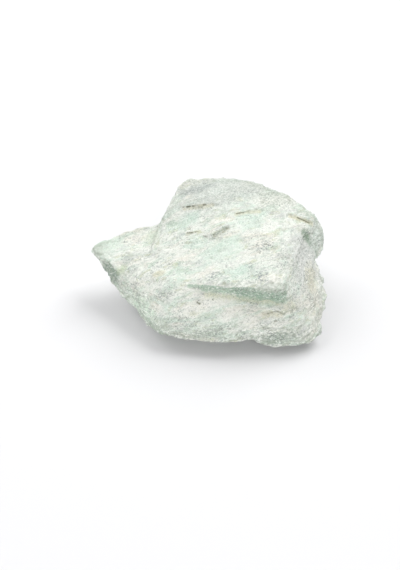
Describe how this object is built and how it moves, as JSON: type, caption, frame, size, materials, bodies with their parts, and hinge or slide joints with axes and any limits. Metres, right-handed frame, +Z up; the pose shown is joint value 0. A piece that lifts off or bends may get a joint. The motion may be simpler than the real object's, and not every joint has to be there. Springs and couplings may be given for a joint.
{
  "type": "raw fuchsite stone",
  "caption": "Raw broken piece of pale green fuchsite schist with a flat layered top, a ledge, a thin spur and rough broken sides; rests on a small flat spot.",
  "frame": {"origin": "middle of the stone's bounding box seen from above, on the surface that it rests on", "axes": "+X along its length, from the thin spur to the blunt end; +Y from the face with the ledge to the rear; +Z up"},
  "size_m": [0.0782, 0.057, 0.0311],
  "materials": {
    "fuchsite": "dull, rough and fine-grained, with faint glints of mica"
  },
  "bodies": {
    "root": {"fuchsite": "fuchsite"}
  },
  "joints": []
}
